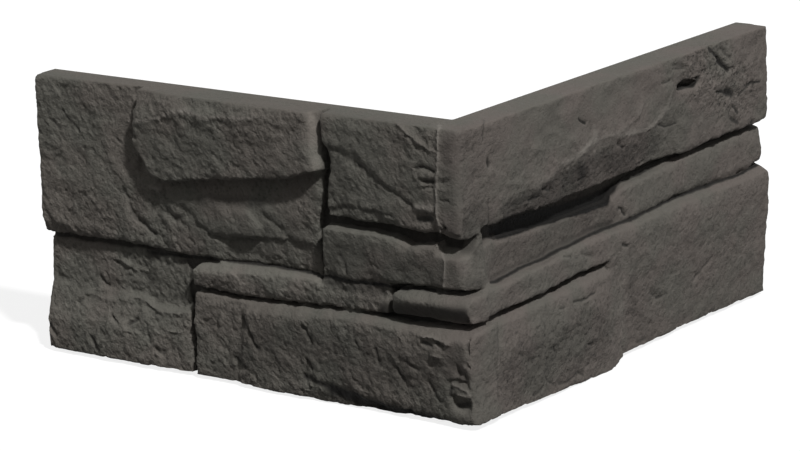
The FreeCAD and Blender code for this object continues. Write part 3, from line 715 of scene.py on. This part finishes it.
def press_marks(obj):
    """Moves the skin's points at each mark and sag, and stores on them the painted shade and highlights of
    the marks, the tone and painted light of the patches, and roughness.
    """
    points = vectors_of(obj, "co")
    facing = vectors_of(obj, "normal")
    moved = points.copy()
    painted_tones = np.zeros(len(points))
    patch_tones_and_painted_light = np.zeros(len(points))
    patch_rough = np.ones(len(points))
    # The last two numbers are the axis that a leg's front faces along, and which way
    legs = (
        (LEFT_MARKS, LEFT_PATCHES, LEFT_SAG, 1, -1),
        (RIGHT_MARKS, RIGHT_PATCHES, RIGHT_SAG, 0, 1),
    )
    for marks, patches, sag, axis, way in legs:
        across = 1 - axis
        out = way * points[:, axis]
        square = way * facing[:, axis]
        front = np.flatnonzero((out >= -way * points[:, across]) & (square > FACING_LEAST))
        seen = seen_at(points[front], axis, way * SEEN_OUT)[:, [across, 2]] / mm
        height, tone = pressed(marks, seen)
        moved[front, axis] += way * height * rising(square[front], *HEIGHT_RISE) * mm
        painted_tones[front] += tone * rising(square[front], *TONE_RISE)
        along = points[front, across] / mm
        moved[front, 2] -= hanging(along, out[front] / mm, points[front, 2] / mm, sag) * mm
        rough, tone = pressed(patches, seen, PATCH_FALL)
        patch_rough[front] += rough
        patch_tones_and_painted_light[front] += tone
    obj.data.vertices.foreach_set("co", moved.ravel())
    keep(obj, "mark_painted_light", np.clip(painted_tones, -1.0, 1.0))
    keep(obj, "patch_tone_and_painted_light", np.maximum(patch_tones_and_painted_light, PATCH_DARKEST))
    keep(obj, "patch_rough", np.maximum(patch_rough, ROUGH_LEAST))
    obj.data.update()
    print("marked points", int(np.count_nonzero(np.abs(painted_tones) > TONE_COUNTED)), "of", len(points))


press_marks(skin)

# %% [markdown]
# The broken face
#
# Split stone is not evenly rough. Its edges wander by a millimetre or so, its face rolls gently over a few
# centimetres, and over that lie ledges and flakes that lean with the bedding, and then grain. The foot is
# chipped here and there. Bump in the finish could show some of this, but outlines and shadows need real form.
# One geometry tree adds it all to any stone, because it follows the same rule everywhere. Its inputs are
# the sizes and heights, in millimetres. The right leg was split along its grain, so it gets less of it.
# Flat cast faces must stay flat: the wall side, both ends, the top and the bottom fade the effect out.

# %% Sizes of the broken face
FACE_SIZES = {
    "Wander": 1.2,
    "Wander size": 12.0,
    "Roll": 1.8,
    "Roll size": 20.0,
    "Flake": 2.5,
    "Flake size": 3.9,
    "Ledge": 0.5,
    "Ledge size": 14.0,
    "Grain": 1.6,
    "Grain size": 2.4,
    "Right leg share": 0.5,
    "Chip": 0.6,
    "Chip size": 9.0,
    "Seed": float(SEED),
}
# How many ledges there are between the lowest and the highest layer, about, and where in a layer each rises
LEDGES = 8.0
LEDGE_EDGE = (0.7, 1.0)
# The value of a crease's noise at which the face neither sinks nor rises
CREASE_LEVEL = 0.09
# Where the cast sides let go, in millimetres: out from the backing, and in from the ends, top and bottom
FREE_OUT = (-1.5, 0.5)
FREE_END = (0.3, 2.5)
FREE_TOP = (0.3, 1.6)
FREE_BOTTOM = (-0.5, 1.5)
# Right at the top, this share of the movement up and down is left
TOP_SHARE = 0.25
# A chip is where its noise is high, near the foot and out from the backing, in millimetres
CHIP_NOISE = (0.0, 0.16)
CHIP_REACH = 3.0
CHIP_OUT = (2.0, 7.0)
print("broken face", FACE_SIZES)

# %% Parts of the face tree
def noise(tree, where, wavelength, detail=2.0, roughness=0.5):
    """A number that wavers about zero."""
    return maths(tree, "SUBTRACT", cloud(tree, where, wavelength, detail, roughness)[0], 0.5)


def free_room(tree, apart):
    """How freely a place may move along each axis, which is little near the cast ends, top and bottom."""
    left = ramp(tree, apart[0], *(LEFT_END / mm + free for free in FREE_END))
    right = ramp(tree, maths(tree, "SUBTRACT", RIGHT_END / mm, apart[1]), *FREE_END)
    bottom = ramp(tree, apart[2], *FREE_BOTTOM)
    top = ramp(tree, maths(tree, "SUBTRACT", TOP / mm, apart[2]), *FREE_TOP)
    top = blend(tree, top, TOP_SHARE, 1.0)
    return joined(tree, left, right, product(tree, bottom, top))


def split_relief(tree, where, on_right, given):
    """How far flakes, grain and ledges lift the face."""
    reliefs = []
    for lean in (LEFT_LEAN, RIGHT_LEAN):
        leant = leaning(tree, where, *lean)
        crease = maths(tree, "ABSOLUTE", noise(tree, leant, given["Flake size"], roughness=0.6))
        crease = maths(tree, "SUBTRACT", crease, CREASE_LEVEL)
        grain = noise(tree, leant, given["Grain size"], detail=1.0)
        layer = product(tree, noise(tree, leant, given["Ledge size"], detail=3.0), LEDGES)
        edge = ramp(tree, maths(tree, "FRACT", layer), *LEDGE_EDGE)
        step = maths(tree, "ADD", maths(tree, "FLOOR", layer), edge)
        flakes = product(tree, crease, given["Flake"])
        grains = product(tree, grain, given["Grain"])
        ledges = product(tree, step, given["Ledge"])
        reliefs.append(maths(tree, "ADD", maths(tree, "ADD", flakes, grains), ledges))
    return blend(tree, on_right, reliefs[0], product(tree, reliefs[1], given["Right leg share"]))


def foot_chips(tree, where, out, up, given):
    """The way up that the foot of the stones is chipped."""
    chip = ramp(tree, noise(tree, where, given["Chip size"]), *CHIP_NOISE)
    low = inverse(tree, ramp(tree, up, 0.0, CHIP_REACH))
    standing = ramp(tree, out, *(BACKING / mm + start for start in CHIP_OUT))
    return joined(tree, z=product(tree, chip, low, standing, given["Chip"]))


print("the face has about", round(LEDGES), "ledges between its lowest and highest layer")

# %% Face tree
def face_tree():
    """A geometry tree that gives the skin its wandering arrises and its split grain."""
    tree, given = geometry_tree("split_face", FACE_SIZES)
    place = scaled(tree, add(tree, "GeometryNodeInputPosition").outputs[0], 1 / mm)
    apart = parts_of(tree, place)
    out = standing_out(tree, apart)
    normal = add(tree, "GeometryNodeInputNormal").outputs[0]
    patch_rough = add(tree, "GeometryNodeInputNamedAttribute", {"Name": "patch_rough"}).outputs[0]
    where = vector_maths(tree, "ADD", place, joined(tree, *[given["Seed"]] * 3))

    wander = cloud(tree, where, given["Wander size"])["Color"]
    wander = vector_maths(tree, "SUBTRACT", wander, (0.5, 0.5, 0.5))
    wander = scaled(tree, wander, product(tree, given["Wander"], 2.0))
    rough = split_relief(tree, where, right_share(tree, apart), given)
    rough = product(tree, rough, calm_share(tree, apart[0], normal, patch_rough))
    roll = product(tree, noise(tree, where, given["Roll size"], detail=1.0), given["Roll"])
    lift = scaled(tree, normal, maths(tree, "ADD", rough, roll))
    shift = vector_maths(tree, "ADD", wander, lift)
    shift = vector_maths(tree, "MULTIPLY", shift, free_room(tree, apart))
    shift = vector_maths(tree, "ADD", shift, foot_chips(tree, where, out, apart[2], given))

    free = ramp(tree, out, *(BACKING / mm + start for start in FREE_OUT))
    shift = scaled(tree, shift, product(tree, free, mm))
    moved = add(tree, "GeometryNodeSetPosition", {"Geometry": given["Geometry"], "Offset": shift})
    end_tree(tree, given, moved.outputs[0])
    return tree


panel = grown(skin, face_tree(), "corner_panel_stone", stone_material)
print("face vertices", len(panel.data.vertices))

# %% [markdown]
# Thinning
#
# The flat wall side needs no points, and the smooth faces need few, so a collapse decimate takes them there
# first and leaves most of the grain. The points of marks and of strong patches are kept out of it, so that
# their tones stay crisp. The piece stays under 200,000 triangles.

# %% Thin the mesh
TRIANGLE_LIMIT = 196000
# A point is kept for a mark stronger than this, or for a patch this far from the usual tone
KEPT_MARK = 0.12
KEPT_PATCH = 0.35
USUAL_PATCH = -0.1
SHARP = math.radians(55)


def numbers_of(obj, name):
    """The number that is stored on each point under a name."""
    values = np.empty(len(obj.data.vertices))
    obj.data.attributes[name].data.foreach_get("value", values)
    return values


def triangles_of(obj):
    """How many triangles the faces of a mesh make."""
    obj.data.calc_loop_triangles()
    return len(obj.data.loop_triangles)


def thinned(source, name, limit):
    """A copy with no more triangles than the limit, and with every point of marks and strong patches."""
    marks = np.abs(numbers_of(source, "mark_painted_light")) > KEPT_MARK
    patches = np.abs(numbers_of(source, "patch_tone_and_painted_light") - USUAL_PATCH) > KEPT_PATCH
    kept = np.flatnonzero(marks | patches)
    group = source.vertex_groups.new(name="marked")
    group.add(kept.tolist(), 1.0, "REPLACE")
    less = source.modifiers.new("less", "DECIMATE")
    less.ratio = min(1.0, limit / triangles_of(source))
    less.vertex_group = group.name
    less.invert_vertex_group = True
    made = shown_copy(source, name)
    drop(source)
    print("points kept", len(kept))
    return made


panel = thinned(panel, "corner_panel_stone", TRIANGLE_LIMIT)
panel.data.polygons.foreach_set("use_smooth", [True] * len(panel.data.polygons))
panel.data.set_sharp_from_angle(angle=SHARP)
print("triangles", triangles_of(panel))

# %% [markdown]
# The stone's finish
#
# Cast stone is dry and matt, dark grey through and through, with a faint change from warm to cool over a few
# centimetres, paler fines on its high grains and tiny pores. An image could be wrapped round it, but the
# patterns read Object coordinates, so they are solid: they run round arrises and into joints, as pigment in
# a pour does. Marks and patches read what the mesh stores on its points. Much of the colour is painted light:
# painted shade in low grains, cracks, joints and cast shadows, and painted highlights on high grains, ridges
# and lit bevels.

# %% Colours of the stone
# Warm and cool tones are given for the left leg and for the right one
WARM = ((0.117, 0.105, 0.092, 1), (0.120, 0.104, 0.093, 1))
COOL = ((0.106, 0.102, 0.088, 1), (0.108, 0.101, 0.088, 1))
# The pale colour is partly the paler fines and partly a painted highlight; the dark and the black colours are
# painted shade
PALE_AND_HIGHLIGHT = (0.180, 0.165, 0.147, 1)
SHADE_DARK = (0.030, 0.028, 0.025, 1)
SHADE_BLACK = (0.010, 0.009, 0.008, 1)
# The warm tone gives way to the cool one between these values of a wide noise
CLOUD_SIZE = 34.0
CLOUD_EDGE = (0.40, 0.62)
# Grains are paler where the noise is high, partly as paler fines and partly as a painted highlight, and
# darker where it is low, as painted shade in the pits, up to these shares
GRAIN_SIZE = 2.0
PALE_LIT_GRAIN = (0.50, 0.72)
PALE_LIT_SHARE = 0.35
PIT_SHADE_GRAIN = (0.48, 0.30)
PIT_SHADE_SHARE = 0.65
# On the right leg the grain shows less, and the stone is a little darker
RIGHT_GRAIN = 0.7
RIGHT_TONE = 0.98
# Each colour that a mark brings starts and is full at these tones, up to a share: painted highlight, painted
# shade and black painted shade
PAINTED_MARK_COLOURS = (
    ((0.05, 0.8), 0.8, PALE_AND_HIGHLIGHT),
    ((-0.08, -0.6), 0.95, SHADE_DARK),
    ((-0.6, -0.9), 0.9, SHADE_BLACK),
)
print("the palest grain is", round(PALE_AND_HIGHLIGHT[0] / SHADE_DARK[0], 1), "times as bright as the darkest")

# %% Colour of faces and marks, with painted shade and highlights
def fresh_nodes(owner):
    """The emptied node tree of a material or a world."""
    owner.use_nodes = True
    owner.node_tree.nodes.clear()
    return owner.node_tree


def stored(tree, name):
    """A number that the mesh stores on its points."""
    return add(tree, "ShaderNodeAttribute", attribute_name=name).outputs["Fac"]


def colours(tree, factor, first, second):
    """The first colour at 0 and the second at 1."""
    made = add(tree, "ShaderNodeMix", {"Factor": factor, 6: first, 7: second}, data_type="RGBA")
    return made.outputs[2]


def face_colour(tree, place, on_right, grain, strength):
    """The colour of split faces, with high grains pale, partly fines and partly painted highlight, and low
    ones darkened with painted shade.
    """
    warmth = ramp(tree, cloud(tree, place, CLOUD_SIZE)[0], *CLOUD_EDGE)
    tone = colours(tree, warmth, colours(tree, on_right, *WARM), colours(tree, on_right, *COOL))
    high = product(tree, ramp(tree, grain, *PALE_LIT_GRAIN), product(tree, strength, PALE_LIT_SHARE))
    low = product(tree, ramp(tree, grain, *PIT_SHADE_GRAIN), product(tree, strength, PIT_SHADE_SHARE))
    return colours(tree, low, colours(tree, high, tone, PALE_AND_HIGHLIGHT), SHADE_DARK)


def marked_colour(tree, tone, on_right):
    """A colour with the painted shade and highlights of marks, and the tones and painted light of patches,
    laid over it.
    """
    mark = stored(tree, "mark_painted_light")
    for edge, share, colour in PAINTED_MARK_COLOURS:
        tone = colours(tree, product(tree, ramp(tree, mark, *edge), share), tone, colour)
    patch = maths(tree, "ADD", stored(tree, "patch_tone_and_painted_light"), 1.0)
    return scaled(tree, tone, product(tree, patch, blend(tree, on_right, 1.0, RIGHT_TONE)))


print("marks bring", len(PAINTED_MARK_COLOURS), "colours")

# %% Painted shade in the joints
# Shade is painted near the backing, deep in the joints; it starts and is full this far out from it, in
# millimetres
PAINTED_SHADE_OUT = (2.0, 0.4)
# The cast sides get none of the painted shade; this starts and is full this far in from each, in millimetres
UNSHADED_TOP = (9.0, 3.0)
UNSHADED_BOTTOM = (0.8, 0.0)
UNSHADED_END = (0.8, 0.2)
UNSHADED_BACKING = (0.8, 1.6)
# How black the painted shade gets on the left leg and on the right one
PAINTED_SHADE_SHARES = (0.75, 0.93)


def painted_joint_shade(tree, apart, on_right):
    """How black a place is painted with the shade that falls deep in the joints."""
    out = standing_out(tree, apart)
    shade = ramp(tree, out, *(BACKING / mm + start for start in PAINTED_SHADE_OUT))
    cast_sides = (
        ramp(tree, apart[2], *(TOP / mm - near for near in UNSHADED_TOP)),
        ramp(tree, apart[2], *UNSHADED_BOTTOM),
        ramp(tree, apart[0], *(LEFT_END / mm + near for near in UNSHADED_END)),
        ramp(tree, apart[1], *(RIGHT_END / mm - near for near in UNSHADED_END)),
        ramp(tree, out, *(BACKING / mm - near for near in UNSHADED_BACKING)),
    )
    for side in cast_sides:
        shade = product(tree, shade, inverse(tree, side))
    return product(tree, shade, blend(tree, on_right, *PAINTED_SHADE_SHARES))


print("joints are darkest", PAINTED_SHADE_OUT[1], "mm out from the backing")

# %% Stone material
PORE_SIZE = 1.2
PORE_DEPTH = 0.5 * mm
PORE_STRENGTH = 0.8
GRAIN_HEIGHT = 1.2 * mm
GRAIN_STRENGTH = 0.85
MATT = 0.92
SHEEN = 0.25


def fine_relief(tree, place, grain, strength):
    """The normal of a surface with pores and grain too fine for the mesh."""
    pores = add(tree, "ShaderNodeBump", {
        "Height": cloud(tree, place, PORE_SIZE, roughness=0.6)[0], "Distance": PORE_DEPTH,
        "Strength": PORE_STRENGTH})
    grains = add(tree, "ShaderNodeBump", {
        "Height": product(tree, grain, strength), "Distance": GRAIN_HEIGHT,
        "Strength": GRAIN_STRENGTH, "Normal": pores.outputs[0]})
    return grains.outputs[0]


def stone_finish(material):
    """Fills the material with the nodes of dark cast stone."""
    tree = fresh_nodes(material)
    place = scaled(tree, add(tree, "ShaderNodeTexCoord").outputs["Object"], 1 / mm)
    apart = parts_of(tree, place)
    on_right = right_share(tree, apart)
    normal = add(tree, "ShaderNodeNewGeometry").outputs["Normal"]
    calm = calm_share(tree, apart[0], normal, stored(tree, "patch_rough"))
    strength = product(tree, blend(tree, on_right, 1.0, RIGHT_GRAIN), calm)
    grains = [cloud(tree, leaning(tree, place, *lean), GRAIN_SIZE, detail=3.0, roughness=0.65)[0]
              for lean in (LEFT_LEAN, RIGHT_LEAN)]
    grain = blend(tree, on_right, *grains)
    tone = face_colour(tree, place, on_right, grain, strength)
    tone = marked_colour(tree, tone, on_right)
    # Painted shade turns the deep joints towards black
    tone = colours(tree, painted_joint_shade(tree, apart, on_right), tone, SHADE_BLACK)
    surface = add(tree, "ShaderNodeBsdfPrincipled", {
        "Base Color": tone, "Roughness": MATT, "Specular IOR Level": SHEEN,
        "Normal": fine_relief(tree, place, grain, strength)})
    add(tree, "ShaderNodeOutputMaterial", {"Surface": surface.outputs[0]})
    print("material", material.name, "has", len(tree.nodes), "nodes")


stone_finish(stone_material)

# %% [markdown]
# Floor, backdrop and light
#
# The photo has a white ground and one lamp, high up and to the right of the camera, with fairly soft shadows.
# The floor and the world are white only to the camera, so that they don't flood the stone with light, and
# the floor still takes the soft shadow.

# %% World
SKY_SEEN = 1.0
SKY_LIGHT = 0.27


def white_to_camera(tree, seen, unseen):
    """A colour that is one value for the camera and its reflections, and another for light."""
    path = add(tree, "ShaderNodeLightPath").outputs
    seen_by = maths(tree, "MAXIMUM", path["Is Camera Ray"], path["Is Glossy Ray"])
    seen_by = maths(tree, "MAXIMUM", seen_by, path["Is Transmission Ray"])
    return colours(tree, seen_by, (unseen, unseen, unseen, 1), (seen, seen, seen, 1))


world = bpy.data.worlds.new("studio")
sky_tree = fresh_nodes(world)
sky = add(sky_tree, "ShaderNodeBackground", {
    "Color": white_to_camera(sky_tree, SKY_SEEN, SKY_LIGHT), "Strength": 1.0})
add(sky_tree, "ShaderNodeOutputWorld", {"Surface": sky.outputs[0]})
bpy.context.scene.world = world
print("the sky gives light of", SKY_LIGHT)

# %% Floor
FLOOR_HALF = 6.0
# What the camera and the light get of the floor's matt colour, and of its own glow
FLOOR_MATT = (0.25, 0.05)
FLOOR_GLOW = (0.82, 0.0)

lowest = min(corner[2] for corner in panel.bound_box)
corners = [(x * FLOOR_HALF, y * FLOOR_HALF, lowest) for x, y in ((-1, -1), (1, -1), (1, 1), (-1, 1))]
floor_mesh = bpy.data.meshes.new("floor")
floor_mesh.from_pydata(corners, [], [(0, 1, 2, 3)])
floor = bpy.data.objects.new("floor", floor_mesh)
bpy.context.collection.objects.link(floor)
floor_material = bpy.data.materials.new("pale_floor")
floor_tree = fresh_nodes(floor_material)
matt = add(floor_tree, "ShaderNodeBsdfDiffuse", {"Color": white_to_camera(floor_tree, *FLOOR_MATT)})
glow = add(floor_tree, "ShaderNodeEmission", {
    "Color": white_to_camera(floor_tree, *FLOOR_GLOW), "Strength": 1.0})
both = add(floor_tree, "ShaderNodeAddShader", {0: matt.outputs[0], 1: glow.outputs[0]})
add(floor_tree, "ShaderNodeOutputMaterial", {"Surface": both.outputs[0]})
floor_mesh.materials.append(floor_material)
print("the floor is at", round(lowest / mm, 1), "mm")

# %% Key light and view
KEY_WAY = Vector((-0.6, 0.32, -0.73))
KEY_ENERGY = 3.0
KEY_WIDTH = math.radians(4)

key = bpy.data.objects.new("key_light", bpy.data.lights.new("key_light", "SUN"))
key.data.energy = KEY_ENERGY
key.data.angle = KEY_WIDTH
key.rotation_euler = KEY_WAY.to_track_quat("-Z", "Y").to_euler()
bpy.context.collection.objects.link(key)
bpy.context.scene.view_settings.view_transform = "Standard"
print("light falls along", tuple(round(v, 2) for v in KEY_WAY.normalized()))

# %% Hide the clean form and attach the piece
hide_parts("corner_panel")
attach(panel, "root")
